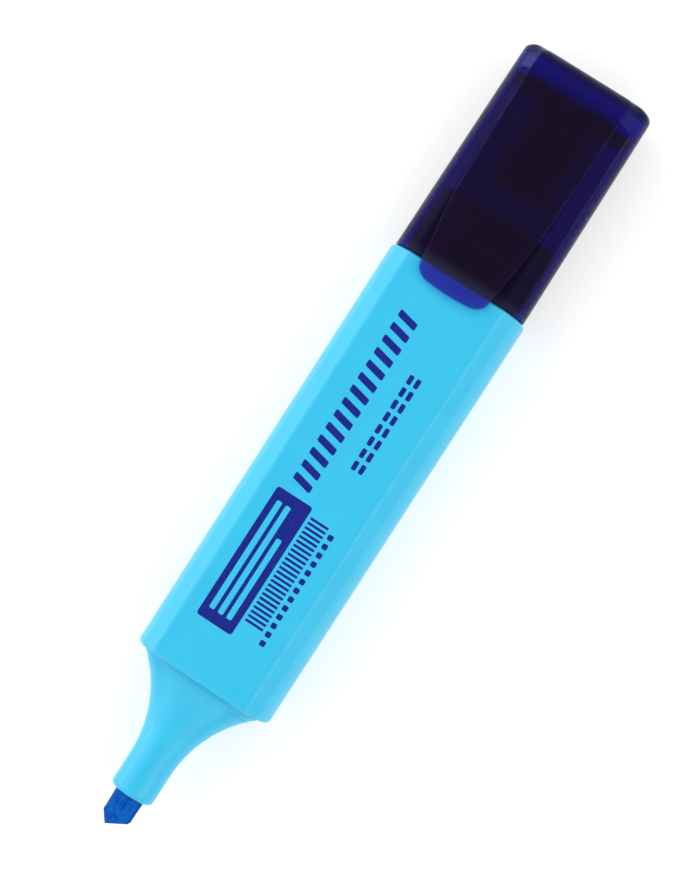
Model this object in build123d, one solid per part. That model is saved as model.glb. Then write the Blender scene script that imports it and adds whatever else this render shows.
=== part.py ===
from build123d import *
from math import atan2, copysign, cos, pi, radians, sin, sqrt, tan
import os

# A flat chisel-tip highlighter with its cap pushed onto the tail, in millimetres.
# +X runs along the pen from the nib to the cap's closed end, and +Z is square to the clip side.
# The barrel lies on its back face at z = 0, and x = 0 is halfway along the whole length.

# Lengths along the pen
NIB_OUT = 6.1
NECK_LENGTH = 21.4
BARREL_LENGTH = 75.3
CAP_GAP = 0.1
CAP_LENGTH = 38.7
TOTAL_LENGTH = NIB_OUT + NECK_LENGTH + BARREL_LENGTH + CAP_GAP + CAP_LENGTH

TIP_X = -TOTAL_LENGTH / 2
NECK_END_X = TIP_X + NIB_OUT
SHOULDER_X = NECK_END_X + NECK_LENGTH
BARREL_REAR_X = SHOULDER_X + BARREL_LENGTH
RIM_X = BARREL_REAR_X + CAP_GAP
CAP_TOP_X = RIM_X + CAP_LENGTH

# Cross-section: flat front and back, a bevel at each corner, and gently bowed sides
BARREL_HALF_HEIGHT = 7.2
FRONT_HALF_WIDTH = 12.35
REAR_HALF_WIDTH = 12.55
MID_Z = BARREL_HALF_HEIGHT
FLAT_INSET = 3.6
BEVEL_DROP = 2.1
SIDE_BOW = 1.5
FLAT_ROUND = 1.5
SIDE_ROUND = 0.8
INNER_ROUND = 0.4

# Where the corners of an inner outline go for one millimetre of wall: the flat's end moves in along
# the flat, and the side's end moves in along the line midway between the bevel's and side's normals
BEVEL_ANGLE = atan2(BEVEL_DROP, FLAT_INSET - SIDE_BOW)
SIDE_END_ANGLE = radians(58)
CORNER_TURN = (SIDE_END_ANGLE - BEVEL_ANGLE) / 2
FLAT_SHIFT = tan(BEVEL_ANGLE / 2)
SIDE_SHIFT = sin(BEVEL_ANGLE + CORNER_TURN) / cos(CORNER_TURN)
BEVEL_SHIFT = cos(BEVEL_ANGLE + CORNER_TURN) / cos(CORNER_TURN)

# Barrel
BARREL_WALL = 1.6
END_EDGE_ROUND = 0.7
FACING = 0.005
RIB_OFFSET = 5.0
RIB_THICKNESS = 1.0
RIB_END_GAP = 1.0

# Front section: a skirt pressed into the barrel, a collar, a flare and a round tube
SKIRT_LENGTH = 7.0
SKIRT_WALL = 1.1
COLLAR_LENGTH = 0.4
COLLAR_HALF_WIDTH = 10.6
COLLAR_HALF_HEIGHT = 5.35
TUBE_RADIUS = 3.75
TUBE_END_ROUND = 0.8
FLARE_RADIUS = 20.5
FLARE_STEPS = 8
FLARE_BASE_POWER = 3.0
FLARE_POINTS = 32
CAVITY_PAST_SHOULDER = 1.5

# Nib
NIB_WIDTH = 4.95
NIB_THICKNESS = 3.6
NIB_CORNER_ROUND = 1.2
NIB_IN_RESERVOIR = 8.0
NIB_CLEARANCE = 0.05
CHISEL_LENGTH = 2.0
CHISEL_POINT_Y = 1.0
CHISEL_SIDE_TAPER = 0.15
CHISEL_EDGE_THICKNESS = 0.9
CHISEL_BEVEL_LENGTH = 3.6

# Ink reservoir and the film round it
RESERVOIR_START = 2.0
RESERVOIR_LENGTH = 64.0
RESERVOIR_WIDTH = 17.5
RESERVOIR_HEIGHT = 8.3
RESERVOIR_ROUND = 3.6
FILM_THICKNESS = 0.15

# Tail plug: a skirt pressed into the barrel and the seat that the cap is pushed onto
PLUG_SKIRT_LENGTH = 8.0
PLUG_WALL = 1.2
SEAT_LENGTH = 12.2
SEAT_HALF_WIDTH = 10.6
SEAT_HALF_HEIGHT = 5.35
SEAT_TAPER = 0.12
SEAT_END_ROUND = 0.6
SPACER_WIDTH = 12.0
SPACER_THICKNESS = 1.2

# Cap
CAP_RIM_HALF_WIDTH = 12.1
CAP_TOP_HALF_WIDTH = 11.75
CAP_RIM_HALF_HEIGHT = 6.8
CAP_TOP_HALF_HEIGHT = 6.6
CAP_WALL = 1.25
CAP_END_WALL = 1.6
CAP_TOP_ROUND = 1.2
CAP_END_STEPS = 4
CAP_END_ANGLE = radians(80)
CAP_RIM_ROUND = 0.25
SOFT_EDGE_LENGTH = 4.0
SOFT_EDGE_DROP = 4.7
SOFT_EDGE_MARGIN = 0.06

# Inner cap: a cup that seals on the neck's tube when the cap is on the front
LINER_MOUTH_DEPTH = 17.6
LINER_FLANGE_DEPTH = 32.4
LINER_FLANGE_THICKNESS = 1.2
LINER_OUTER_RADIUS = 5.0
LINER_BORE_RADIUS = 3.85

# Pocket clip: an arm that springs from a raised root on the cap's front
CLIP_ROOT_LENGTH = 4.4
CLIP_ROOT_HALF_WIDTH = 8.3
CLIP_KNEE_FROM_RIM = 11.0
CLIP_KNEE_HALF_WIDTH = 7.85
CLIP_KNEE_RADIUS = 60.0
CLIP_TONGUE = 3.0
CLIP_TONGUE_HALF_WIDTH = 6.3
CLIP_TONGUE_BULGE = 0.4
CLIP_TONGUE_CORNER = 1.8
CLIP_TOP_HEIGHT = 8.75
CLIP_TIP_HEIGHT = 8.4
CLIP_UNDER_HEIGHT = 7.4
CLIP_HINGE_GAP = 0.12
BEAD_FROM_RIM = 3.5
BEAD_RADIUS = 0.6
BEAD_WIDTH = 8.0
BEAD_GAP = 0.15

# How close two places must be to count as the same
SAME_PLACE = 0.01


def cross_plane(x):
    """A plane across the pen at x, with its own x along +Y and its own y along +Z."""
    return Plane(origin=(x, 0, MID_Z), x_dir=(0, 1, 0), z_dir=(1, 0, 0))


def outline(x, half_width, half_height, inset=0.0, flat_round=FLAT_ROUND, side_round=SIDE_ROUND):
    """The pen's eight-sided section at x, moved in all round by the inset."""
    wide = half_width - inset
    high = half_height - inset
    flat = half_width - FLAT_INSET - inset * FLAT_SHIFT
    side = half_width - SIDE_BOW - inset * SIDE_SHIFT
    bevel = half_height - BEVEL_DROP - inset * BEVEL_SHIFT
    edges = [
        Line((-flat, high), (flat, high)),
        Line((flat, high), (side, bevel)),
        ThreePointArc((side, bevel), (wide, 0), (side, -bevel)),
        Line((side, -bevel), (flat, -high)),
        Line((flat, -high), (-flat, -high)),
        Line((-flat, -high), (-side, -bevel)),
        ThreePointArc((-side, -bevel), (-wide, 0), (-side, bevel)),
        Line((-side, bevel), (-flat, high)),
    ]
    mid_bevel = (high + bevel) / 2
    face = make_face(edges)
    face = fillet(face.vertices().filter_by(lambda v: abs(v.Y) > mid_bevel), flat_round)
    face = fillet(face.vertices().filter_by(lambda v: abs(v.Y) < mid_bevel), side_round)
    return cross_plane(x) * face


def tapered(start_x, start_size, end_x, end_size, inset=0.0):
    """A solid with the pen's section that changes evenly from one half width and height to another."""
    rounds = (INNER_ROUND, INNER_ROUND) if inset else (FLAT_ROUND, SIDE_ROUND)
    start = outline(start_x, *start_size, inset, *rounds)
    end = outline(end_x, *end_size, inset, *rounds)
    return loft([start, end])


def barrel_size(x):
    """The barrel's half width and half height at x. Only the width has draft."""
    share = (x - SHOULDER_X) / BARREL_LENGTH
    return FRONT_HALF_WIDTH + (REAR_HALF_WIDTH - FRONT_HALF_WIDTH) * share, BARREL_HALF_HEIGHT


def cap_size(x):
    """The cap's half width and half height at x."""
    share = (x - RIM_X) / CAP_LENGTH
    half_width = CAP_RIM_HALF_WIDTH + (CAP_TOP_HALF_WIDTH - CAP_RIM_HALF_WIDTH) * share
    half_height = CAP_RIM_HALF_HEIGHT + (CAP_TOP_HALF_HEIGHT - CAP_RIM_HALF_HEIGHT) * share
    return half_width, half_height


def along(start_x, end_x, size_at, inset=0.0):
    """A solid with the section that size_at gives, between two places along the pen."""
    return tapered(start_x, size_at(start_x), end_x, size_at(end_x), inset)


def end_edges(solid, last):
    """The edges of the solid's last face along +X, or of its first one."""
    return solid.faces().sort_by(Axis.X)[-1 if last else 0].edges()


def rounded_bar(start_x, end_x, width, height, corner):
    """A bar along the pen with a rounded rectangular section."""
    section = cross_plane(start_x) * RectangleRounded(width, height, corner)
    return extrude(section, end_x - start_x)


def block(start_x, end_x, half_width, low_z, high_z, centre_y=0.0):
    """A box between two places along the pen and two heights."""
    centre = ((start_x + end_x) / 2, centre_y, (low_z + high_z) / 2)
    return Pos(*centre) * Box(end_x - start_x, 2 * half_width, high_z - low_z)


def make_barrel():
    """The open tube, with four ribs inside that hold the ink reservoir on its centre line."""
    thick_front = (FRONT_HALF_WIDTH, BARREL_HALF_HEIGHT + FACING)
    thick_rear = (REAR_HALF_WIDTH, BARREL_HALF_HEIGHT + FACING)
    shell = tapered(SHOULDER_X, thick_front, BARREL_REAR_X, thick_rear)
    for last in (False, True):
        shell = fillet(end_edges(shell, last), END_EDGE_ROUND)
    # The flat front and back are faced off, so that they are true planes
    shell &= block(SHOULDER_X, BARREL_REAR_X, 2 * REAR_HALF_WIDTH, 0, 2 * BARREL_HALF_HEIGHT)
    shell -= along(SHOULDER_X, BARREL_REAR_X, barrel_size, BARREL_WALL)
    ribs_start = SHOULDER_X + SKIRT_LENGTH + RIB_END_GAP
    ribs_end = BARREL_REAR_X - PLUG_SKIRT_LENGTH - RIB_END_GAP
    film_top = RESERVOIR_HEIGHT / 2 + FILM_THICKNESS
    inner_top = BARREL_HALF_HEIGHT - BARREL_WALL / 2
    for y in (-RIB_OFFSET, RIB_OFFSET):
        for low, high in ((film_top, inner_top), (-inner_top, -film_top)):
            shell += block(ribs_start, ribs_end, RIB_THICKNESS / 2, MID_Z + low, MID_Z + high, y)
    return shell


def flare_rise(distance):
    """How far the flare stands out from the tube, at a distance back from where it leaves it."""
    return FLARE_RADIUS - sqrt(FLARE_RADIUS**2 - distance**2)


def flare_section(x, share):
    """A closed curve at x that is round at share 0 and squarish, as wide as the collar, at share 1."""
    half_width = TUBE_RADIUS + (COLLAR_HALF_WIDTH - TUBE_RADIUS) * share
    half_height = TUBE_RADIUS + (COLLAR_HALF_HEIGHT - TUBE_RADIUS) * share
    power = 2 / (2 + (FLARE_BASE_POWER - 2) * share)
    points = []
    for step in range(FLARE_POINTS):
        angle = 2 * pi * step / FLARE_POINTS
        y = copysign(abs(cos(angle)) ** power, cos(angle)) * half_width
        z = copysign(abs(sin(angle)) ** power, sin(angle)) * half_height
        points.append((y, z))
    return cross_plane(x) * make_face(Spline(points, periodic=True))


def make_front_section():
    """The skirt, collar, flare and tube in one piece, bored through for the nib."""
    rise = COLLAR_HALF_WIDTH - TUBE_RADIUS
    flare_length = sqrt(FLARE_RADIUS**2 - (FLARE_RADIUS - rise) ** 2)
    collar_x = SHOULDER_X - COLLAR_LENGTH
    tube_x = collar_x - flare_length
    sections = []
    for step in range(FLARE_STEPS + 1):
        distance = flare_length * step / FLARE_STEPS
        sections.append(flare_section(tube_x + distance, flare_rise(distance) / rise))
    flare = loft(sections)
    tube = extrude(flare_section(NECK_END_X, 0), tube_x - NECK_END_X)
    tube = fillet(end_edges(tube, last=False), TUBE_END_ROUND)
    collar = extrude(flare_section(collar_x, 1), COLLAR_LENGTH)
    skirt_end = SHOULDER_X + SKIRT_LENGTH
    skirt = along(SHOULDER_X, skirt_end, barrel_size, BARREL_WALL)
    section = tube + flare + collar + skirt
    cavity_start = SHOULDER_X - CAVITY_PAST_SHOULDER
    section -= rounded_bar(
        cavity_start,
        skirt_end,
        2 * (COLLAR_HALF_WIDTH - SKIRT_WALL),
        2 * (BARREL_HALF_HEIGHT - BARREL_WALL - SKIRT_WALL),
        RESERVOIR_ROUND,
    )
    bore_width = NIB_WIDTH + 2 * NIB_CLEARANCE
    bore_height = NIB_THICKNESS + 2 * NIB_CLEARANCE
    section -= rounded_bar(NECK_END_X, skirt_end, bore_width, bore_height, NIB_CORNER_ROUND)
    return section


def make_nib():
    """The fibre nib, cut to a slanted chisel edge in front and pushed into the reservoir behind."""
    rear_x = SHOULDER_X + RESERVOIR_START + NIB_IN_RESERVOIR
    bar = rounded_bar(TIP_X, rear_x, NIB_WIDTH, NIB_THICKNESS, NIB_CORNER_ROUND)
    half = NIB_WIDTH / 2
    corner_x = TIP_X + CHISEL_LENGTH
    corner_y = half - CHISEL_SIDE_TAPER
    plan = [
        (TIP_X, CHISEL_POINT_Y),
        (corner_x, corner_y),
        (NECK_END_X, half),
        (rear_x, half),
        (rear_x, -half),
        (NECK_END_X, -half),
        (corner_x, -corner_y),
    ]
    plan_prism = extrude(make_face(Polyline(*plan, close=True)), 2 * BARREL_HALF_HEIGHT)
    bevel_x = TIP_X + CHISEL_BEVEL_LENGTH
    edge = CHISEL_EDGE_THICKNESS / 2
    deep = NIB_THICKNESS / 2
    side = [
        (TIP_X, MID_Z + edge),
        (bevel_x, MID_Z + deep),
        (rear_x, MID_Z + deep),
        (rear_x, MID_Z - deep),
        (bevel_x, MID_Z - deep),
        (TIP_X, MID_Z - edge),
    ]
    side_face = Plane.XZ * make_face(Polyline(*side, close=True))
    side_prism = extrude(side_face, NIB_WIDTH, both=True)
    return bar & plan_prism & side_prism


def make_reservoir(nib):
    """The fibre core that holds the ink, with a pocket in its front end where the nib is pushed in."""
    start_x = SHOULDER_X + RESERVOIR_START
    end_x = start_x + RESERVOIR_LENGTH
    core = rounded_bar(start_x, end_x, RESERVOIR_WIDTH, RESERVOIR_HEIGHT, RESERVOIR_ROUND)
    return core - nib


def make_film():
    """The thin film sleeve round the reservoir, open at both ends."""
    start_x = SHOULDER_X + RESERVOIR_START
    end_x = start_x + RESERVOIR_LENGTH
    width = RESERVOIR_WIDTH + 2 * FILM_THICKNESS
    height = RESERVOIR_HEIGHT + 2 * FILM_THICKNESS
    sleeve = rounded_bar(start_x, end_x, width, height, RESERVOIR_ROUND + FILM_THICKNESS)
    return sleeve - rounded_bar(start_x, end_x, RESERVOIR_WIDTH, RESERVOIR_HEIGHT, RESERVOIR_ROUND)


def make_tail_plug():
    """The plug that closes the barrel's tail, with the cap's seat outside and a spacer inside."""
    skirt_start = BARREL_REAR_X - PLUG_SKIRT_LENGTH
    seat_end = BARREL_REAR_X + SEAT_LENGTH
    seat_size = (SEAT_HALF_WIDTH, SEAT_HALF_HEIGHT)
    end_size = (SEAT_HALF_WIDTH - SEAT_TAPER, SEAT_HALF_HEIGHT - SEAT_TAPER)
    seat = tapered(BARREL_REAR_X, seat_size, seat_end, end_size)
    seat = fillet(end_edges(seat, last=True), SEAT_END_ROUND)
    plug = seat + along(skirt_start, BARREL_REAR_X, barrel_size, BARREL_WALL)
    hollow_end = seat_end - PLUG_WALL
    plug -= tapered(skirt_start, seat_size, hollow_end, end_size, PLUG_WALL)
    reservoir_end = SHOULDER_X + RESERVOIR_START + RESERVOIR_LENGTH
    spacer_half = SPACER_THICKNESS / 2
    spacer = block(reservoir_end, hollow_end, SPACER_WIDTH / 2, MID_Z - spacer_half, MID_Z + spacer_half)
    return plug + spacer


def cap_end():
    """The cap's closed end, whose edge is a quarter round all the way about."""
    start_x = CAP_TOP_X - CAP_TOP_ROUND
    sections = []
    for step in range(CAP_END_STEPS + 1):
        angle = CAP_END_ANGLE * step / CAP_END_STEPS
        x = start_x + CAP_TOP_ROUND * sin(angle) / sin(CAP_END_ANGLE)
        inset = CAP_TOP_ROUND * (1 - cos(angle))
        sections.append(outline(x, *cap_size(x), inset))
    return loft(sections)


def root_section(x, inset=0.0):
    """The clip root's section at x: its sides slope from the clip's edges down to the cap's sides."""
    half_width, half_height = cap_size(x)
    top_width = CLIP_ROOT_HALF_WIDTH - inset
    side = half_width - SIDE_BOW - inset * (SIDE_SHIFT + BEVEL_SHIFT)
    bevel = half_height - BEVEL_DROP
    top = CLIP_TOP_HEIGHT
    corners = [(-top_width, top), (top_width, top), (side, bevel), (-side, bevel)]
    return cross_plane(x) * make_face(Polyline(*corners, close=True))


def cap_profile():
    """A wide prism with the cap's side profile: the front edge at the closed end is a large soft curve.

    It stands off the cap by a small margin, so that the curve crosses the cap's flat faces.
    """
    start_x = CAP_TOP_X - SOFT_EDGE_LENGTH
    end_x = CAP_TOP_X + SOFT_EDGE_MARGIN
    rim_x = RIM_X - SOFT_EDGE_MARGIN
    top = MID_Z + CLIP_TOP_HEIGHT + SOFT_EDGE_MARGIN
    low = MID_Z + CLIP_TOP_HEIGHT - SOFT_EDGE_DROP
    curve = EllipticalCenterArc((start_x, low), end_x - start_x, top - low, arc_size=90)
    around = Polyline((start_x, top), (rim_x, top), (rim_x, 0), (end_x, 0), (end_x, low))
    return extrude(Plane.XZ * make_face([curve, *around.edges()]), 2 * CAP_RIM_HALF_WIDTH, both=True)


def make_cap_shell():
    """The cap's outer shell, closed at the top, with the raised part that the clip springs from."""
    round_x = CAP_TOP_X - CAP_TOP_ROUND
    shell = along(RIM_X, round_x, cap_size)
    shell = fillet(end_edges(shell, last=False), CAP_RIM_ROUND)
    shell += cap_end()
    root_end = root_section(round_x)
    root = loft([root_section(CAP_TOP_X - CLIP_ROOT_LENGTH), root_end])
    root += loft([root_end, root_section(CAP_TOP_X, CAP_TOP_ROUND)])
    profile = cap_profile()
    outside = (shell & profile) + (root & profile)
    return outside - along(RIM_X, CAP_TOP_X - CAP_END_WALL, cap_size, CAP_WALL)


def make_inner_cap():
    """The liner: a cup open towards the rim, held by a flange that fills the shell's section."""
    mouth_x = RIM_X + LINER_MOUTH_DEPTH
    flange_x = RIM_X + LINER_FLANGE_DEPTH
    flange_end = flange_x + LINER_FLANGE_THICKNESS
    cup = extrude(cross_plane(mouth_x) * Circle(LINER_OUTER_RADIUS), flange_end - mouth_x)
    flange = along(flange_x, flange_end, cap_size, CAP_WALL)
    bore = extrude(cross_plane(mouth_x) * Circle(LINER_BORE_RADIUS), flange_x - mouth_x)
    return cup + flange - bore


def make_pocket_clip():
    """The clip's arm: tapered in plan, with a round-cornered tongue past the rim and a bead under it."""
    root_x = CAP_TOP_X - CLIP_ROOT_LENGTH - CLIP_HINGE_GAP
    knee_x = RIM_X + CLIP_KNEE_FROM_RIM
    tongue_x = RIM_X - CLIP_TONGUE
    corner_x = tongue_x + CLIP_TONGUE_BULGE
    right = Polyline(
        (root_x, -CLIP_ROOT_HALF_WIDTH),
        (knee_x, -CLIP_KNEE_HALF_WIDTH),
        (corner_x, -CLIP_TONGUE_HALF_WIDTH),
    )
    left = Polyline(
        (corner_x, CLIP_TONGUE_HALF_WIDTH),
        (knee_x, CLIP_KNEE_HALF_WIDTH),
        (root_x, CLIP_ROOT_HALF_WIDTH),
    )
    tip = ThreePointArc(right @ 1, (tongue_x, 0), left @ 0)
    back = Line(left @ 1, right @ 0)
    plan = make_face([*right.edges(), tip, *left.edges(), back])
    knees = [v for v in plan.vertices() if abs(v.X - knee_x) < SAME_PLACE]
    plan = fillet(knees, CLIP_KNEE_RADIUS)
    corners = [v for v in plan.vertices() if abs(v.X - corner_x) < SAME_PLACE]
    plan = fillet(corners, CLIP_TONGUE_CORNER)
    plan_prism = extrude(plan, 3 * BARREL_HALF_HEIGHT)
    under = MID_Z + CLIP_UNDER_HEIGHT
    side = [
        (root_x, under),
        (root_x, MID_Z + CLIP_TOP_HEIGHT),
        (tongue_x, MID_Z + CLIP_TIP_HEIGHT),
        (tongue_x, under),
    ]
    side_face = Plane.XZ * make_face(Polyline(*side, close=True))
    arm = plan_prism & extrude(side_face, 2 * CLIP_ROOT_HALF_WIDTH, both=True)
    bead_x = RIM_X + BEAD_FROM_RIM
    bead_z = MID_Z + cap_size(bead_x)[1] + BEAD_GAP + BEAD_RADIUS
    bead = Pos(bead_x, 0, bead_z) * Rot(90, 0, 0) * Cylinder(BEAD_RADIUS, BEAD_WIDTH)
    return arm + bead


nib = make_nib()
pieces = {
    "barrel": make_barrel(),
    "front_section": make_front_section(),
    "nib": nib,
    "ink_reservoir": make_reservoir(nib),
    "reservoir_film": make_film(),
    "tail_plug": make_tail_plug(),
    "cap_shell": make_cap_shell(),
    "inner_cap": make_inner_cap(),
    "pocket_clip": make_pocket_clip(),
}

os.makedirs("parts", exist_ok=True)
for name, piece in pieces.items():
    export_step(piece, f"parts/{name}.step")
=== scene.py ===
import math

import bmesh
import bpy
from mathutils import Matrix, Vector


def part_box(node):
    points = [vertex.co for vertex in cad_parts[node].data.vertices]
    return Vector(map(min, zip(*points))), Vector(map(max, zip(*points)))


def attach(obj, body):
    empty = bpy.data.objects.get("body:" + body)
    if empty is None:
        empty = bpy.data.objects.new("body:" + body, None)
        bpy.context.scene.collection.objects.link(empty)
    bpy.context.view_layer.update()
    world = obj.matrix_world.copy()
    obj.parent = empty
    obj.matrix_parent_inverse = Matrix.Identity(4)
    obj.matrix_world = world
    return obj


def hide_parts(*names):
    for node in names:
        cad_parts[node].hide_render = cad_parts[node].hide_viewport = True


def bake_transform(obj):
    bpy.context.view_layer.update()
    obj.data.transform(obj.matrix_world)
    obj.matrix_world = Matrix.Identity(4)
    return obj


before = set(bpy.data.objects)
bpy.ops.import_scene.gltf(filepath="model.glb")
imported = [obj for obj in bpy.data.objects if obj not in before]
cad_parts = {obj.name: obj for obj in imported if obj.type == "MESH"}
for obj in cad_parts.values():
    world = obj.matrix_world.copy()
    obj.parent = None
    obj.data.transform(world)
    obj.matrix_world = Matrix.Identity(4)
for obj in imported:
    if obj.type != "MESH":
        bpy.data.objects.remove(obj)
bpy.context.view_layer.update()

# A flat highlighter lying on its back, with its cap on the tail. Everything is in metres.
# +X runs from the nib to the cap's closed end, +Z comes out of the clip side.
MM = 0.001

# Places along the pen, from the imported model
SHOULDER_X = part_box("barrel")[0].x
BARREL_REAR_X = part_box("barrel")[1].x
NECK_END_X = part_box("front_section")[0].x
SKIRT_END_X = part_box("front_section")[1].x
TIP_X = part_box("nib")[0].x
NIB_REAR_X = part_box("nib")[1].x
RIM_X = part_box("cap_shell")[0].x
CAP_TOP_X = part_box("cap_shell")[1].x
CLIP_TIP_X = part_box("pocket_clip")[0].x
CLIP_ROOT_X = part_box("pocket_clip")[1].x

# Heights and widths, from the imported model
BARREL_HALF_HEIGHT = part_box("barrel")[1].z / 2
MID_Z = BARREL_HALF_HEIGHT
BARREL_REAR_HALF_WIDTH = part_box("barrel")[1].y
BARREL_FRONT_HALF_WIDTH = BARREL_REAR_HALF_WIDTH - 0.2 * MM
CLIP_TOP_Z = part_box("pocket_clip")[1].z
CLIP_HALF_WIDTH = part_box("pocket_clip")[1].y

# The pen's eight-sided section
FLAT_INSET = 3.6 * MM
BEVEL_DROP = 2.1 * MM
SIDE_BOW = 1.5 * MM
FLAT_ROUND = 1.5 * MM
SIDE_ROUND = 0.8 * MM
LEAST_ROUND = 0.4 * MM
CORNER_STEPS = 6
SIDE_STEPS = 16
SUPPORT = 0.06 * MM
WELD_DISTANCE = 0.0001 * MM
SHARP_ANGLE = math.radians(40)
STRAIGHT = math.radians(0.1)
BEVEL_ANGLE = math.atan2(BEVEL_DROP, FLAT_INSET - SIDE_BOW)
SIDE_END_ANGLE = math.radians(58)
CORNER_TURN = (SIDE_END_ANGLE - BEVEL_ANGLE) / 2
FLAT_SHIFT = math.tan(BEVEL_ANGLE / 2)
SIDE_SHIFT = math.sin(BEVEL_ANGLE + CORNER_TURN) / math.cos(CORNER_TURN)
BEVEL_SHIFT = math.cos(BEVEL_ANGLE + CORNER_TURN) / math.cos(CORNER_TURN)

# Barrel
BARREL_WALL = 1.6 * MM
END_EDGE_ROUND = 0.7 * MM
EDGE_STEPS = 6

# Front section
COLLAR_LENGTH = 0.4 * MM
COLLAR_HALF_WIDTH = 10.6 * MM
COLLAR_HALF_HEIGHT = 5.35 * MM
TUBE_RADIUS = 3.75 * MM
TUBE_END_ROUND = 0.8 * MM
FLARE_RADIUS = 20.5 * MM
FLARE_STEPS = 32
FLARE_POINTS = 96
FLARE_BASE_POWER = 3.0
CAVITY_PAST_SHOULDER = 1.5 * MM
CAVITY_HALF_WIDTH = 9.5 * MM
CAVITY_HALF_HEIGHT = 4.3 * MM
CAVITY_CORNER = 3.0 * MM

# Nib
NIB_HALF_WIDTH = 2.475 * MM
NIB_HALF_THICKNESS = 1.8 * MM
NIB_CORNER = 1.2 * MM
NIB_CLEARANCE = 0.05 * MM
CHISEL_LENGTH = 2.0 * MM
CHISEL_POINT_Y = 1.0 * MM
CHISEL_SIDE_TAPER = 0.15 * MM
CHISEL_EDGE_HALF = 0.45 * MM
CHISEL_BEVEL_LENGTH = 3.6 * MM
NIB_EDGE_BEVEL = 0.14 * MM
NIB_BEVEL_ANGLE = math.radians(15)

# Cap
CAP_RIM_HALF_WIDTH = 12.1 * MM
CAP_TOP_HALF_WIDTH = 11.75 * MM
CAP_RIM_HALF_HEIGHT = 6.8 * MM
CAP_TOP_HALF_HEIGHT = 6.6 * MM
CAP_WALL = 1.25 * MM
CAP_END_WALL = 1.6 * MM
CAP_TOP_ROUND = 1.2 * MM
CAP_RIM_ROUND = 0.25 * MM
SOFT_EDGE_LENGTH = 4.0 * MM
SOFT_EDGE_DROP = 4.7 * MM
SOFT_EDGE_STEPS = 18
PAST_RIM = "past_rim"

# Clip
CLIP_TIP_DROP = 0.35 * MM
CLIP_UNDER = 7.4 * MM
CLIP_EDGE_ROUND = 0.4 * MM
CLIP_CROWN = 0.1 * MM
CLIP_KNEE_X = RIM_X + 11.0 * MM
CLIP_KNEE_HALF_WIDTH = 7.85 * MM
CLIP_KNEE_REACH = 2.8 * MM
CLIP_TONGUE_HALF_WIDTH = 6.05 * MM
CLIP_TONGUE_BULGE = 0.5 * MM
CLIP_TONGUE_CORNER = 2.0 * MM
CLIP_FLAT_POINTS = 10
CLIP_LENGTH_STEPS = 40
PLAIN_SHARE = 0.87
BEAD_FROM_RIM = 3.5 * MM
BEAD_RADIUS = 0.6 * MM
BEAD_HALF_WIDTH = 4.0 * MM
BEAD_GAP = 0.15 * MM

# Print on the barrel's front
PRINT_THICKNESS = 0.012 * MM
PRINT_CORNER = 0.25 * MM
BLOCK_CORNER = 0.5 * MM
LINE_CORNER = 0.4 * MM
TICK_CORNER = 0.02 * MM

# The print's layout, in millimetres behind the shoulder and to the left of the middle
HATCH_START = 34.5
HATCH_STROKES = 14
HATCH_PITCH = 32.7 / HATCH_STROKES
HATCH_LENGTH = 0.52 * HATCH_PITCH
HATCH_LEAN = 0.35 * HATCH_PITCH
HATCH_SIDES = (1.3, 4.85)
BLOCK_START = 9.2
BLOCK_LENGTH = 23.8
BLOCK_SIDES = (-0.45, 6.1)
TICK_START = 12.4
TICK_COUNT = 24
TICK_PITCH = 0.82
TICK_LENGTH = 0.42
TICK_SIDES = (-4.3, -1.0)
DOT_START = 10.4
DOT_COUNT = 13
DOT_PITCH = 1.637
DOT_LENGTH = 0.95
DOT_SIDES = (-5.8, -4.85)
DASH_START = 41.4
DASH_COUNT = 8
DASH_PITCH = 2.28
DASH_LENGTH = 1.6
DASH_HALF_WIDTH = 0.4
DASH_ROWS = (-2.4, -3.7)
LINE_START = 11.1
LINE_WIDTH = 0.95
LINES = ((14.9, 0.8), (20.0, 2.4), (20.0, 4.0))

# Camera and stage
CAMERA_DISTANCE = 0.416
CAMERA_LENS = 105.1
PEN_ANGLE = math.radians(57.19)
PEN_ROLL = math.radians(6.0)
AIM_ALONG = 1.04 * MM
AIM_ACROSS = 0.70 * MM
FLOOR_SIZE = 4.0
SKY_STRENGTH = 1.72
SOFTBOX_SIZE = (1.2, 0.35)


# Materials


def new_material(name):
    """A material with one Principled node, returned with its node tree and that node."""
    material = bpy.data.materials.new(name)
    material.use_nodes = True
    tree = material.node_tree
    return material, tree, tree.nodes["Principled BSDF"]


def texture_place(tree, scale=(1, 1, 1)):
    """The object's own coordinates in metres, scaled along each axis."""
    place = tree.nodes.new("ShaderNodeTexCoord")
    mapping = tree.nodes.new("ShaderNodeMapping")
    mapping.inputs["Scale"].default_value = scale
    tree.links.new(place.outputs["Object"], mapping.inputs["Vector"])
    return mapping.outputs["Vector"]


def noise(tree, vector, scale, detail=3.0, roughness=0.5):
    """A noise texture's value."""
    node = tree.nodes.new("ShaderNodeTexNoise")
    node.inputs["Scale"].default_value = scale
    node.inputs["Detail"].default_value = detail
    node.inputs["Roughness"].default_value = roughness
    tree.links.new(vector, node.inputs["Vector"])
    return node.outputs["Fac"]


def ramp(tree, value, stops):
    """A colour for each value, from stops of (place, colour)."""
    node = tree.nodes.new("ShaderNodeValToRGB")
    elements = node.color_ramp.elements
    while len(elements) < len(stops):
        elements.new(0.5)
    for element, (place, colour) in zip(elements, stops):
        element.position = place
        element.color = (*colour, 1.0)
    tree.links.new(value, node.inputs["Fac"])
    return node.outputs["Color"]


def spread(tree, value, low, high):
    """The value moved from its middle range to the range low to high."""
    node = tree.nodes.new("ShaderNodeMapRange")
    node.inputs["From Min"].default_value = 0.3
    node.inputs["From Max"].default_value = 0.7
    node.inputs["To Min"].default_value = low
    node.inputs["To Max"].default_value = high
    tree.links.new(value, node.inputs["Value"])
    return node.outputs["Result"]


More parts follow.
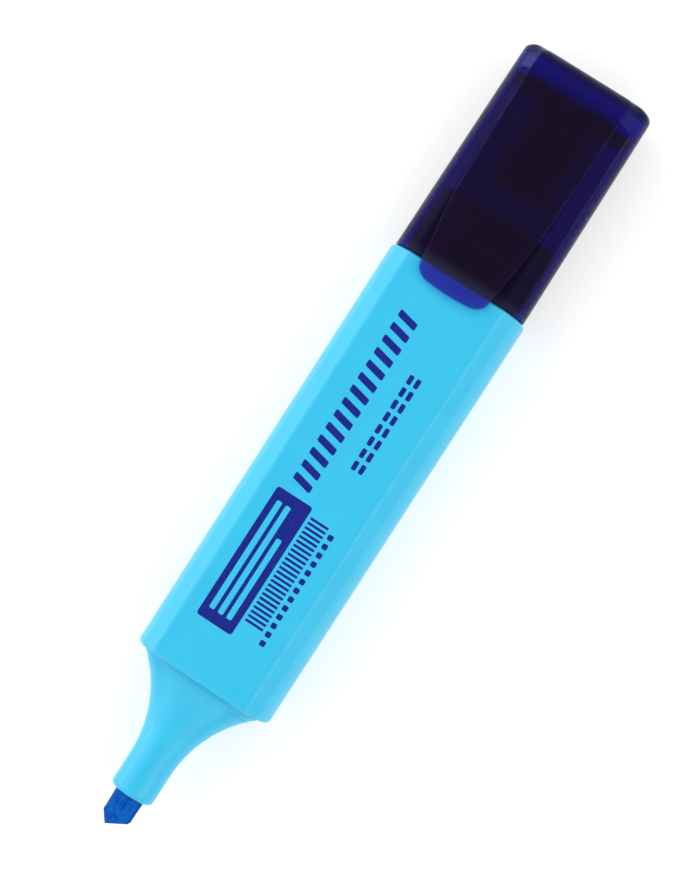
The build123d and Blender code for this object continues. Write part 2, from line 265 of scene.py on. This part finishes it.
def bump(tree, shader, height, distance, strength):
    """Feeds the shader's normal from a height, in metres of distance."""
    node = tree.nodes.new("ShaderNodeBump")
    node.inputs["Strength"].default_value = strength
    node.inputs["Distance"].default_value = distance
    tree.links.new(height, node.inputs["Height"])
    tree.links.new(node.outputs["Normal"], shader.inputs["Normal"])


def moulded_plastic(name, cloud_scale, colours, roughness, ior, shine):
    """Opaque plastic, with a colour between two and a fine moulded grain."""
    material, tree, shader = new_material(name)
    place = texture_place(tree)
    clouds = noise(tree, place, cloud_scale)
    tree.links.new(ramp(tree, clouds, list(zip((0.3, 0.7), colours))), shader.inputs["Base Color"])
    tree.links.new(spread(tree, noise(tree, place, 900.0), *roughness), shader.inputs["Roughness"])
    shader.inputs["IOR"].default_value = ior
    shader.inputs["Specular IOR Level"].default_value = shine
    bump(tree, shader, noise(tree, place, 5200.0, 2.0), 0.000006, 0.25)
    return material


def barrel_plastic():
    """Light blue polypropylene with a satin moulded surface."""
    colours = ((0.034, 0.485, 0.745), (0.038, 0.505, 0.765))
    return moulded_plastic("barrel_plastic", 160.0, colours, (0.30, 0.40), 1.49, 0.4)


def dark_plastic():
    """Dark navy plastic of the tail plug and the inner cap."""
    colours = ((0.005, 0.004, 0.040), (0.006, 0.005, 0.050))
    return moulded_plastic("dark_plastic", 200.0, colours, (0.38, 0.48), 1.5, 0.15)


def cap_plastic():
    """Dark navy translucent plastic, darker where it is thicker; its tint is painted clearer in the tongue
    and at the closed end for light passing through, and darker along the shell as painted shade from the dark
    parts inside.
    """
    material, tree, shader = new_material("cap_plastic")
    place = texture_place(tree)
    past_rim = tree.nodes.new("ShaderNodeAttribute")
    past_rim.attribute_name = PAST_RIM
    # Painted light and shade in the tint: the tongue and the closed end are painted lighter where light
    # passes through, the shell darker for shade from the dark inside.
    tongue = (0.60, 0.66, 0.88)
    shell = (0.27, 0.17, 0.42)
    end = (0.24, 0.22, 0.88)
    stops = [(0.0, tongue), (0.05, shell), (0.84, shell), (0.98, end)]
    tree.links.new(ramp(tree, past_rim.outputs["Fac"], stops), shader.inputs["Base Color"])
    shader.inputs["Transmission Weight"].default_value = 0.97
    shader.inputs["Specular IOR Level"].default_value = 0.12
    shader.inputs["Specular Tint"].default_value = (0.55, 0.50, 0.95, 1.0)
    shader.inputs["IOR"].default_value = 1.11
    tree.links.new(spread(tree, noise(tree, place, 700.0), 0.17, 0.23), shader.inputs["Roughness"])
    bump(tree, shader, noise(tree, place, 4200.0, 2.0), 0.000004, 0.2)
    absorb = tree.nodes.new("ShaderNodeVolumeAbsorption")
    absorb.inputs["Color"].default_value = (0.08, 0.08, 0.83, 1.0)
    absorb.inputs["Density"].default_value = 1400.0
    output = next(n for n in tree.nodes if n.type == "OUTPUT_MATERIAL")
    tree.links.new(absorb.outputs["Volume"], output.inputs["Volume"])
    return material


def nib_fibre():
    """Inked polyester fibres that run along the nib."""
    material, tree, shader = new_material("nib_fibre")
    along = texture_place(tree, (0.06, 1, 1))
    strands = noise(tree, along, 3600.0, 4.0, 0.65)
    wet = noise(tree, texture_place(tree), 500.0, 2.0)
    mixed = tree.nodes.new("ShaderNodeMix")
    mixed.inputs["Factor"].default_value = 0.35
    tree.links.new(strands, mixed.inputs["A"])
    tree.links.new(wet, mixed.inputs["B"])
    stops = [(0.32, (0.0, 0.034, 0.270)), (0.5, (0.0, 0.088, 0.440)), (0.68, (0.002, 0.170, 0.580))]
    tree.links.new(ramp(tree, mixed.outputs["Result"], stops), shader.inputs["Base Color"])
    tree.links.new(spread(tree, strands, 0.55, 0.75), shader.inputs["Roughness"])
    shader.inputs["Specular IOR Level"].default_value = 0.08
    bump(tree, shader, strands, 0.00006, 0.6)
    return material


def reservoir_fibre():
    """The inked fibre core, paler than the nib."""
    material, tree, shader = new_material("reservoir_fibre")
    strands = noise(tree, texture_place(tree, (0.05, 1, 1)), 2600.0, 4.0, 0.6)
    stops = [(0.3, (0.010, 0.22, 0.58)), (0.7, (0.050, 0.38, 0.78))]
    tree.links.new(ramp(tree, strands, stops), shader.inputs["Base Color"])
    shader.inputs["Roughness"].default_value = 0.8
    bump(tree, shader, strands, 0.00008, 0.5)
    return material


def film_plastic():
    """Clear film with a faint gloss."""
    material, tree, shader = new_material("film_plastic")
    shader.inputs["Base Color"].default_value = (0.85, 0.90, 0.95, 1.0)
    shader.inputs["Transmission Weight"].default_value = 0.9
    shader.inputs["IOR"].default_value = 1.45
    wrinkles = noise(tree, texture_place(tree), 500.0)
    tree.links.new(spread(tree, wrinkles, 0.08, 0.18), shader.inputs["Roughness"])
    bump(tree, shader, wrinkles, 0.00003, 0.3)
    return material


def print_ink():
    """Navy pad-printed ink, a little uneven in cover."""
    material, tree, shader = new_material("print_ink")
    cover = noise(tree, texture_place(tree), 2400.0, 4.0)
    stops = [(0.35, (0.006, 0.014, 0.205)), (0.65, (0.010, 0.019, 0.240))]
    tree.links.new(ramp(tree, cover, stops), shader.inputs["Base Color"])
    tree.links.new(spread(tree, cover, 0.38, 0.50), shader.inputs["Roughness"])
    shader.inputs["Specular IOR Level"].default_value = 0.15
    return material


def floor_white():
    """The plain pale floor, which glows a little, so that shadows on it stay faint."""
    material, _, shader = new_material("floor_white")
    shader.inputs["Base Color"].default_value = (0.62, 0.62, 0.62, 1.0)
    shader.inputs["Emission Color"].default_value = (1.0, 1.0, 1.0, 1.0)
    shader.inputs["Emission Strength"].default_value = 0.46
    shader.inputs["Roughness"].default_value = 0.9
    shader.inputs["Specular IOR Level"].default_value = 0.0
    return material


# Meshes


def finish_mesh(name, mesh_data, material):
    """Makes an object from a bmesh, welded, with outward faces and smooth shading between sharp edges."""
    bmesh.ops.remove_doubles(mesh_data, verts=mesh_data.verts, dist=WELD_DISTANCE)
    bmesh.ops.recalc_face_normals(mesh_data, faces=mesh_data.faces)
    mesh = bpy.data.meshes.new(name)
    mesh_data.to_mesh(mesh)
    mesh_data.free()
    mesh.materials.append(material)
    mesh.shade_smooth()
    mesh.set_sharp_from_angle(angle=SHARP_ANGLE)
    piece = bpy.data.objects.new(name, mesh)
    bpy.context.scene.collection.objects.link(piece)
    return piece


def add_ring(mesh_data, x, points):
    """Adds one ring of points (y, height above the middle) at x."""
    return [mesh_data.verts.new((x, y, MID_Z + z)) for y, z in points]


def join_rings(mesh_data, first, second):
    """Adds the quads between two rings with the same number of points."""
    count = len(first)
    for i in range(count):
        j = (i + 1) % count
        mesh_data.faces.new((first[i], first[j], second[j], second[i]))


def rounded_path(corners):
    """Points along a path of (corner, radius): a corner with a radius becomes an arc, the others stay.

    A point a little before and after each arc keeps the flats beside it flat.
    """
    points = []
    for i, (corner, radius) in enumerate(corners):
        if not radius:
            points.append(tuple(corner))
            continue
        here = Vector(corner)
        before = (Vector(corners[i - 1][0]) - here).normalized()
        after = (Vector(corners[(i + 1) % len(corners)][0]) - here).normalized()
        half_turn = (math.pi - before.angle(after)) / 2
        if half_turn < STRAIGHT:
            points += [tuple(here)] * (CORNER_STEPS + 3)
            continue
        reach = radius * math.tan(half_turn)
        centre = here + (before + after).normalized() * (radius / math.cos(half_turn))
        start = here + before * reach - centre
        turn = start.angle_signed(here + after * reach - centre)
        points.append(tuple(here + before * (reach + SUPPORT)))
        for step in range(CORNER_STEPS + 1):
            arm = start.copy()
            arm.rotate(Matrix.Rotation(-turn * step / CORNER_STEPS, 2))
            points.append(tuple(centre + arm))
        points.append(tuple(here + after * (reach + SUPPORT)))
    return points


def with_left(right):
    """A closed ring from its right half, which runs from the front's middle to the back's middle."""
    return right + [(-y, z) for y, z in reversed(right[1:-1])]


def section(half_width, half_height, inset=0.0, front=None, shoulder=None):
    """The pen's whole section, moved in all round by the inset.

    The front's points, middle to right, and the right shoulder can be given to raise the front.
    """
    high = half_height - inset
    wide = half_width - inset
    flat = half_width - FLAT_INSET - inset * FLAT_SHIFT
    side = half_width - SIDE_BOW - inset * SIDE_SHIFT
    bevel = half_height - BEVEL_DROP - inset * BEVEL_SHIFT
    bow = wide - side
    radius = (bow**2 + bevel**2) / (2 * bow)
    flat_round = max(LEAST_ROUND, FLAT_ROUND - inset)
    side_round = max(LEAST_ROUND, SIDE_ROUND - inset)
    corners = [(point, 0) for point in front or [(0.0, high)]]
    corners.append((shoulder, LEAST_ROUND) if shoulder else ((flat, high), flat_round))
    corners.append(((side, bevel), side_round))
    for step in range(1, SIDE_STEPS):
        z = bevel * (1 - 2 * step / SIDE_STEPS)
        corners.append(((wide - radius + math.sqrt(radius**2 - z**2), z), 0))
    corners.append(((side, -bevel), side_round))
    corners.append(((flat, -high), flat_round))
    corners.append(((0.0, -high), 0))
    return with_left(rounded_path(corners))


def barrel_half_width(x):
    """The barrel's half width at x."""
    share = (x - SHOULDER_X) / (BARREL_REAR_X - SHOULDER_X)
    return BARREL_FRONT_HALF_WIDTH + (BARREL_REAR_HALF_WIDTH - BARREL_FRONT_HALF_WIDTH) * share


def edge_arc(radius):
    """Pairs of (distance from the end, inset) round a quarter-round edge, from the end face outwards."""
    pairs = []
    for step in range(EDGE_STEPS + 1):
        angle = math.pi / 2 * step / EDGE_STEPS
        pairs.append((radius * (1 - math.cos(angle)), radius * (1 - math.sin(angle))))
    pairs.append((radius + SUPPORT, 0.0))
    return pairs


def make_barrel(material):
    """The open tube: outside from front to rear, then inside back to the front."""
    edge = edge_arc(END_EDGE_ROUND)
    profile = [(SHOULDER_X, END_EDGE_ROUND + SUPPORT)]
    profile += [(SHOULDER_X + out, inset) for out, inset in edge]
    profile += [(BARREL_REAR_X - out, inset) for out, inset in reversed(edge)]
    profile.append((BARREL_REAR_X, END_EDGE_ROUND + SUPPORT))
    profile += [(BARREL_REAR_X, BARREL_WALL), (SHOULDER_X, BARREL_WALL)]
    data = bmesh.new()
    rings = []
    for x, inset in profile:
        rings.append(add_ring(data, x, section(barrel_half_width(x), BARREL_HALF_HEIGHT, inset)))
    for first, second in zip(rings, rings[1:] + rings[:1]):
        join_rings(data, first, second)
    piece = finish_mesh("barrel_tube", data, material)
    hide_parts("barrel")
    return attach(piece, "pen")


def flare_points(share, inset=0.0):
    """The neck's section: round at share 0, and squarish and as wide as the collar at share 1."""
    half_width = TUBE_RADIUS + (COLLAR_HALF_WIDTH - TUBE_RADIUS) * share - inset
    half_height = TUBE_RADIUS + (COLLAR_HALF_HEIGHT - TUBE_RADIUS) * share - inset
    power = 2 / (2 + (FLARE_BASE_POWER - 2) * share)
    points = []
    for step in range(FLARE_POINTS):
        angle = 2 * math.pi * (step + 0.5) / FLARE_POINTS
        y = math.copysign(abs(math.cos(angle)) ** power, math.cos(angle)) * half_width
        z = math.copysign(abs(math.sin(angle)) ** power, math.sin(angle)) * half_height
        points.append((y, z))
    return points


def towards(points, path):
    """For each point, the place on a closed path that lies the same way from the middle."""
    result = []
    for y, z in points:
        for (y1, z1), (y2, z2) in zip(path, path[1:] + path[:1]):
            across = y * (z2 - z1) - z * (y2 - y1)
            if abs(across) < 1e-15:
                continue
            reach = (y1 * (z2 - z1) - z1 * (y2 - y1)) / across
            share = (y1 * z - z1 * y) / across
            if reach > 0 and 0 <= share <= 1:
                result.append((y * reach, z * reach))
                break
    return result


def rounded_box(half_width, half_height, corner):
    """A closed rectangle with rounded corners."""
    corners = [(1, 1), (1, -1), (-1, -1), (-1, 1)]
    return rounded_path([((y * half_width, z * half_height), corner) for y, z in corners])


def make_front_section(material):
    """The tube, flare, collar and skirt, bored through for the nib."""
    rise = COLLAR_HALF_WIDTH - TUBE_RADIUS
    flare_length = math.sqrt(FLARE_RADIUS**2 - (FLARE_RADIUS - rise) ** 2)
    collar_x = SHOULDER_X - COLLAR_LENGTH
    tube_x = collar_x - flare_length
    collar = flare_points(1.0)
    bore_path = rounded_box(NIB_HALF_WIDTH + NIB_CLEARANCE, NIB_HALF_THICKNESS + NIB_CLEARANCE, NIB_CORNER)
    bore = towards(collar, bore_path)
    skirt = towards(collar, section(barrel_half_width(SHOULDER_X), BARREL_HALF_HEIGHT, BARREL_WALL))
    cavity = towards(collar, rounded_box(CAVITY_HALF_WIDTH, CAVITY_HALF_HEIGHT, CAVITY_CORNER))
    cavity_x = SHOULDER_X - CAVITY_PAST_SHOULDER
    places = [(NECK_END_X, towards(flare_points(0.0), bore_path))]
    for out, inset in edge_arc(TUBE_END_ROUND):
        places.append((NECK_END_X + out, flare_points(0.0, inset)))
    for step in range(FLARE_STEPS + 1):
        distance = flare_length * step / FLARE_STEPS
        share = (FLARE_RADIUS - math.sqrt(FLARE_RADIUS**2 - distance**2)) / rise
        places.append((tube_x + distance, flare_points(share)))
    places += [(SHOULDER_X, collar), (SHOULDER_X, skirt), (SKIRT_END_X, skirt)]
    places += [(SKIRT_END_X, cavity), (cavity_x, cavity), (cavity_x, bore)]
    data = bmesh.new()
    rings = [add_ring(data, x, points) for x, points in places]
    for first, second in zip(rings, rings[1:] + rings[:1]):
        join_rings(data, first, second)
    piece = finish_mesh("neck", data, material)
    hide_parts("front_section")
    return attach(piece, "pen")


def cut(data, point, normal):
    """Cuts away what lies beyond a plane and closes the cut."""
    geometry = [*data.verts, *data.edges, *data.faces]
    result = bmesh.ops.bisect_plane(data, geom=geometry, plane_co=point, plane_no=normal, clear_outer=True)
    edges = [e for e in result["geom_cut"] if isinstance(e, bmesh.types.BMEdge)]
    filled = bmesh.ops.holes_fill(data, edges=edges, sides=0)
    return filled["faces"]


def make_nib(material):
    """The fibre bar, cut to a slanted chisel edge, with the cut edges a little worn."""
    section_path = rounded_box(NIB_HALF_WIDTH, NIB_HALF_THICKNESS, NIB_CORNER)
    data = bmesh.new()
    first = add_ring(data, TIP_X, section_path)
    second = add_ring(data, NIB_REAR_X, section_path)
    join_rings(data, first, second)
    data.faces.new(first)
    data.faces.new(second)
    taper = CHISEL_SIDE_TAPER / (NECK_END_X - TIP_X - CHISEL_LENGTH)
    deep = NIB_HALF_THICKNESS - CHISEL_EDGE_HALF
    for side in (-1, 1):
        cut(data, (NECK_END_X, side * NIB_HALF_WIDTH, MID_Z), (-taper, side, 0))
        corner_y = side * (NIB_HALF_WIDTH - CHISEL_SIDE_TAPER)
        cut(data, (TIP_X, CHISEL_POINT_Y, MID_Z), (-abs(corner_y - CHISEL_POINT_Y), side * CHISEL_LENGTH, 0))
        cut(data, (TIP_X, 0, MID_Z + side * CHISEL_EDGE_HALF), (-deep, 0, side * CHISEL_BEVEL_LENGTH))
    edges = [e for e in data.edges if e.is_manifold and e.calc_face_angle() > NIB_BEVEL_ANGLE]
    front = [e for e in edges if max(v.co.x for v in e.verts) < NECK_END_X]
    bmesh.ops.bevel(data, geom=front, offset=NIB_EDGE_BEVEL, segments=3, affect="EDGES", profile=0.5)
    piece = finish_mesh("nib_tip", data, material)
    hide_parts("nib")
    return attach(piece, "pen")


def cap_half_size(x):
    """The cap's half width and half height at x."""
    share = (x - RIM_X) / (CAP_TOP_X - RIM_X)
    half_width = CAP_RIM_HALF_WIDTH + (CAP_TOP_HALF_WIDTH - CAP_RIM_HALF_WIDTH) * share
    half_height = CAP_RIM_HALF_HEIGHT + (CAP_TOP_HALF_HEIGHT - CAP_RIM_HALF_HEIGHT) * share
    return half_width, half_height


def front_row(half_width, top, sweep=math.pi / 2):
    """The clip's top from its middle to its right edge: a crowned flat, then an edge rounded by the sweep."""
    inner = half_width - CLIP_EDGE_ROUND
    points = []
    for step in range(CLIP_FLAT_POINTS):
        share = step / CLIP_FLAT_POINTS
        points.append((inner * share, top - CLIP_CROWN * share**2))
    for step in range(CORNER_STEPS + 1):
        angle = sweep * step / CORNER_STEPS
        drop = CLIP_CROWN + CLIP_EDGE_ROUND * (1 - math.cos(angle))
        points.append((inner + CLIP_EDGE_ROUND * math.sin(angle), top - drop))
    return points


def root_slope():
    """How far the root's sides turn from level, as they fall from the clip's edges to the cap's sides."""
    half_width, half_height = cap_half_size(CAP_TOP_X)
    run = half_width - SIDE_BOW - CLIP_HALF_WIDTH
    fall = CLIP_TOP_Z - MID_Z - (half_height - BEVEL_DROP)
    return math.atan2(fall, run)


def plain_ring(data, x, inset=0.0):
    """A ring of the cap where nothing is raised."""
    half_width, half_height = cap_half_size(x)
    row = front_row(CLIP_HALF_WIDTH, 0.0)
    front = [(y * PLAIN_SHARE, half_height - inset) for y, _ in row]
    return add_ring(data, x, section(half_width, half_height, inset, front))


def end_shape(x):
    """The cap's raised height and its edge's inset at x, both curved in towards the closed end."""
    soft_share = max(0.0, 1 - (CAP_TOP_X - x) / SOFT_EDGE_LENGTH)
    drop = SOFT_EDGE_DROP * (1 - math.sqrt(max(0.0, 1 - soft_share**2)))
    round_share = max(0.0, 1 - (CAP_TOP_X - x) / CAP_TOP_ROUND)
    inset = CAP_TOP_ROUND * (1 - math.sqrt(max(0.0, 1 - round_share**2)))
    return CLIP_TOP_Z - MID_Z - drop, inset


def raised_points(x):
    """The cap's section through the clip's root, whose sides slope down to the cap's sides."""
    half_width, half_height = cap_half_size(x)
    top, inset = end_shape(x)
    front = front_row(CLIP_HALF_WIDTH - inset, top, root_slope())
    edge_y, edge_z = front[-1]
    side = half_width - SIDE_BOW - inset * SIDE_SHIFT
    bevel = half_height - BEVEL_DROP - inset * BEVEL_SHIFT
    full_edge = CLIP_TOP_Z - MID_Z - CLIP_EDGE_ROUND
    share = (full_edge - CLIP_UNDER) / (full_edge - (half_height - BEVEL_DROP))
    shoulder = (edge_y + (side - edge_y) * share, edge_z + (bevel - edge_z) * share)
    return section(half_width, half_height, inset, front, shoulder)


def clip_top(x):
    """The clip's upper height above the middle, which falls a little towards the tongue."""
    share = (CLIP_ROOT_X - x) / (CLIP_ROOT_X - CLIP_TIP_X)
    return CLIP_TOP_Z - MID_Z - CLIP_TIP_DROP * share


def clip_half_width(x):
    """The clip's half width at x: nearly straight to the knee, then drawn in to the tongue's corners."""
    root_slant = (CLIP_HALF_WIDTH - CLIP_KNEE_HALF_WIDTH) / (CLIP_ROOT_X - CLIP_KNEE_X)
    tongue_slant = (CLIP_KNEE_HALF_WIDTH - CLIP_TONGUE_HALF_WIDTH) / (CLIP_KNEE_X - CLIP_TIP_X)
    past_knee = CLIP_KNEE_X - x
    blend = min(1.0, max(0.0, (past_knee + CLIP_KNEE_REACH) / (2 * CLIP_KNEE_REACH)))
    turn = (tongue_slant - root_slant) * CLIP_KNEE_REACH * blend**2
    straight_on = (tongue_slant - root_slant) * max(0.0, past_knee - CLIP_KNEE_REACH)
    half_width = CLIP_KNEE_HALF_WIDTH - root_slant * past_knee - turn - straight_on
    over = max(0.0, 1 - (x - CLIP_TIP_X) / CLIP_TONGUE_CORNER)
    return half_width - CLIP_TONGUE_CORNER * (1 - math.sqrt(1 - over**2))


def arm_ring(data, depth, sweep=math.pi / 2):
    """One ring of the clip's arm at a depth from the tongue's end, which bulges out in the middle."""
    half_width = clip_half_width(CLIP_TIP_X + depth)
    end_share = max(0.0, 1 - depth / CLIP_EDGE_ROUND)
    drop = CLIP_EDGE_ROUND * (1 - math.sqrt(1 - end_share**2))
    top = front_row(half_width, clip_top(CLIP_TIP_X + depth) - drop, sweep)
    under = [(y, CLIP_UNDER + 0.5 * drop) for y, _ in reversed(top)]
    fade = max(0.0, 1 - depth / (2 * CLIP_TONGUE_CORNER)) ** 2
    ring = []
    for y, z in with_left(top + under):
        bulge = CLIP_TONGUE_BULGE * fade * (y / CLIP_TONGUE_HALF_WIDTH) ** 2
        ring.append(data.verts.new((CLIP_TIP_X + depth + bulge, y, MID_Z + z)))
    return ring


def close_tongue(data, ring):
    """Closes the tongue's curved end with quads between its top and its underside."""
    row = (len(ring) + 2) // 4
    for i in range(row - 1):
        places = (i, i + 1, 2 * row - 2 - i, 2 * row - 1 - i)
        data.faces.new([ring[place] for place in places])
        data.faces.new([ring[-place] for place in places])


def mark_past_rim(piece):
    """Stores how far each point lies from the rim to the closed end, so that the tint, with its painted light
    and shade, moves with the cap.
    """
    shares = piece.data.attributes.new(PAST_RIM, "FLOAT", "POINT")
    for vertex, share in zip(piece.data.vertices, shares.data):
        share.value = (vertex.co.x - RIM_X) / (CAP_TOP_X - RIM_X)


def make_cap(material):
    """The shell and the clip in one piece, as they are moulded: the arm springs from the raised root."""
    data = bmesh.new()
    rings = [plain_ring(data, CAP_TOP_X - CAP_END_WALL, CAP_WALL), plain_ring(data, RIM_X, CAP_WALL)]
    rings += [plain_ring(data, RIM_X + out, inset) for out, inset in edge_arc(CAP_RIM_ROUND)]
    rings.append(plain_ring(data, CLIP_ROOT_X))
    for first, second in zip(rings, rings[1:]):
        join_rings(data, first, second)
    data.faces.new(rings[0])

    raised = raised_points(CLIP_ROOT_X)
    row = len(front_row(CLIP_HALF_WIDTH, 0.0))
    under = list(raised)
    for i in range(row):
        under[i] = (raised[i][0], CLIP_UNDER)
        under[-i] = (raised[-i][0], CLIP_UNDER)
    under_ring = add_ring(data, CLIP_ROOT_X, under)
    join_rings(data, rings[-1], under_ring)
    raised_ring = add_ring(data, CLIP_ROOT_X, raised)
    for i in (row - 1, -row):
        data.faces.new((under_ring[i], under_ring[i + 1], raised_ring[i + 1], raised_ring[i]))
    rings = [raised_ring]
    for step in range(SOFT_EDGE_STEPS + 1):
        x = CAP_TOP_X - SOFT_EDGE_LENGTH * (1 - math.sin(math.pi / 2 * step / SOFT_EDGE_STEPS))
        rings.append(add_ring(data, x, raised_points(x)))
    for first, second in zip(rings, rings[1:]):
        join_rings(data, first, second)
    data.faces.new(rings[-1])

    length = CLIP_ROOT_X - CLIP_TIP_X
    arm = [arm_ring(data, length, root_slope())]
    for step in range(1, CLIP_LENGTH_STEPS + 1):
        share = math.cos(math.pi / 2 * step / CLIP_LENGTH_STEPS) ** 2
        arm.append(arm_ring(data, length * share))
    for first, second in zip(arm, arm[1:]):
        join_rings(data, first, second)
    close_tongue(data, arm[-1])
    piece = finish_mesh("cap_with_clip", data, material)
    mark_past_rim(piece)
    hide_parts("cap_shell", "pocket_clip")
    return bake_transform(piece)


def make_bead(material):
    """The low round bead under the clip that grips a pocket's cloth."""
    bead_x = RIM_X + BEAD_FROM_RIM
    bead_z = cap_half_size(bead_x)[1] + BEAD_GAP + BEAD_RADIUS
    reach = CLIP_UNDER - bead_z
    start = math.asin(reach / BEAD_RADIUS)
    data = bmesh.new()
    rings = []
    for side in (-1, 1):
        ring = []
        for step in range(2 * CORNER_STEPS + 1):
            angle = start - (math.pi + 2 * start) * step / (2 * CORNER_STEPS)
            x = bead_x + BEAD_RADIUS * math.cos(angle)
            z = MID_Z + bead_z + BEAD_RADIUS * math.sin(angle)
            ring.append(data.verts.new((x, side * BEAD_HALF_WIDTH, z)))
        data.faces.new(ring)
        rings.append(ring)
    join_rings(data, *rings)
    piece = finish_mesh("clip_bead", data, material)
    mark_past_rim(piece)
    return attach(piece, "clip")


# Print


def prism(data, corners, height):
    """A thin flat-topped mark on the barrel's front, from corners (x, y)."""
    low = MID_Z + BARREL_HALF_HEIGHT - PRINT_THICKNESS
    bottom = [data.verts.new((x, y, low)) for x, y in corners]
    top = [data.verts.new((x, y, low + PRINT_THICKNESS + height)) for x, y in corners]
    join_rings(data, bottom, top)
    data.faces.new(bottom)
    data.faces.new(top)


def bar_mark(data, start, length, sides, height=PRINT_THICKNESS, corner=PRINT_CORNER, lean=0.0):
    """A round-cornered bar at a place of the print's layout, which leans back towards its left side."""
    x0 = SHOULDER_X + start * MM
    x1 = x0 + length * MM
    y0, y1 = sides[0] * MM, sides[1] * MM
    radius = min(corner, 0.3 * (x1 - x0), 0.3 * (y1 - y0))
    corners = [(x0, y0), (x1, y0), (x1 + lean * MM, y1), (x0 + lean * MM, y1)]
    prism(data, rounded_path([(point, radius) for point in corners]), height)


def mark_row(data, start, count, pitch, length, sides, **style):
    """A row of equal bars along the barrel."""
    for i in range(count):
        bar_mark(data, start + i * pitch, length, sides, **style)


def make_print(ink, bare):
    """Plain generic marks: a hatched band, a block with bare lines, ticks, dots and two dashed rows."""
    data = bmesh.new()
    mark_row(data, HATCH_START, HATCH_STROKES, HATCH_PITCH, HATCH_LENGTH, HATCH_SIDES, lean=HATCH_LEAN)
    bar_mark(data, BLOCK_START, BLOCK_LENGTH, BLOCK_SIDES, corner=BLOCK_CORNER)
    mark_row(data, TICK_START, TICK_COUNT, TICK_PITCH, TICK_LENGTH, TICK_SIDES, corner=TICK_CORNER)
    mark_row(data, DOT_START, DOT_COUNT, DOT_PITCH, DOT_LENGTH, DOT_SIDES)
    for row in DASH_ROWS:
        sides = (row - DASH_HALF_WIDTH, row + DASH_HALF_WIDTH)
        mark_row(data, DASH_START, DASH_COUNT, DASH_PITCH, DASH_LENGTH, sides)
    marks = finish_mesh("print_marks", data, ink)
    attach(marks, "pen")

    data = bmesh.new()
    for length, low in LINES:
        sides = (low, low + LINE_WIDTH)
        bar_mark(data, LINE_START, length, sides, 2 * PRINT_THICKNESS, LINE_CORNER)
    gaps = finish_mesh("print_bare_lines", data, bare)
    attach(gaps, "pen")


# Stage


def make_camera():
    """The camera: nearly square to the pen's front, with the pen turned a little to show its right side."""
    back = Vector((0, -math.sin(PEN_ROLL), math.cos(PEN_ROLL)))
    along = Vector((1, 0, 0))
    across = back.cross(along)
    right = math.cos(PEN_ANGLE) * along - math.sin(PEN_ANGLE) * across
    up = math.sin(PEN_ANGLE) * along + math.cos(PEN_ANGLE) * across
    target = Vector((0, 0, MID_Z)) + AIM_ALONG * along + AIM_ACROSS * across
    camera = bpy.data.cameras.new("camera")
    camera.lens = CAMERA_LENS
    camera.clip_start = 0.01
    camera.clip_end = 20.0
    holder = bpy.data.objects.new("camera", camera)
    turn = Matrix((right, up, back)).transposed()
    holder.matrix_world = Matrix.Translation(target + CAMERA_DISTANCE * back) @ turn.to_4x4()
    bpy.context.scene.collection.objects.link(holder)
    bpy.context.scene.camera = holder


def make_light(name, place, size, power):
    """A soft rectangular lamp that faces the pen."""
    lamp = bpy.data.lights.new(name, "AREA")
    lamp.shape = "RECTANGLE"
    lamp.size, lamp.size_y = size
    lamp.energy = power
    holder = bpy.data.objects.new(name, lamp)
    holder.location = place
    holder.rotation_euler = (-Vector(place)).to_track_quat("-Z", "Y").to_euler()
    bpy.context.scene.collection.objects.link(holder)


def make_surround():
    """A studio surround: grey near the horizon, a bright ring above it, and dark straight overhead."""
    world = bpy.data.worlds.new("surround")
    world.use_nodes = True
    tree = world.node_tree
    place = tree.nodes.new("ShaderNodeTexCoord")
    parts = tree.nodes.new("ShaderNodeSeparateXYZ")
    tree.links.new(place.outputs["Generated"], parts.inputs["Vector"])
    levels = [(0.40, 0.26), (0.52, 0.91), (0.82, 0.91), (0.92, 0.07)]
    stops = [(height, (level, level, level)) for height, level in levels]
    background = tree.nodes["Background"]
    background.inputs["Strength"].default_value = SKY_STRENGTH
    tree.links.new(ramp(tree, parts.outputs["Z"], stops), background.inputs["Color"])
    bpy.context.scene.world = world


def make_stage():
    """The floor, the surround and the lamps."""
    half = FLOOR_SIZE / 2
    mesh = bpy.data.meshes.new("floor")
    corners = [(-half, -half, 0), (half, -half, 0), (half, half, 0), (-half, half, 0)]
    mesh.from_pydata(corners, [], [(0, 1, 2, 3)])
    mesh.materials.append(floor_white())
    floor = bpy.data.objects.new("floor", mesh)
    bpy.context.scene.collection.objects.link(floor)
    make_surround()
    make_light("left_softbox", (0.05, 0.75, 0.22), SOFTBOX_SIZE, 3.7)
    make_light("right_softbox", (0.05, -0.75, 0.40), SOFTBOX_SIZE, 1.7)
    bpy.context.scene.view_settings.view_transform = "Standard"


def main():
    make_camera()
    make_stage()
    barrel = barrel_plastic()
    dark = dark_plastic()
    make_barrel(barrel)
    make_front_section(barrel)
    make_nib(nib_fibre())
    cap = cap_plastic()
    make_cap(cap)
    make_bead(cap)
    make_print(print_ink(), barrel)
    kept = {
        "tail_plug": dark,
        "inner_cap": dark,
        "ink_reservoir": reservoir_fibre(),
        "reservoir_film": film_plastic(),
    }
    for node, material in kept.items():
        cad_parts[node].data.materials.clear()
        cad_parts[node].data.materials.append(material)


main()
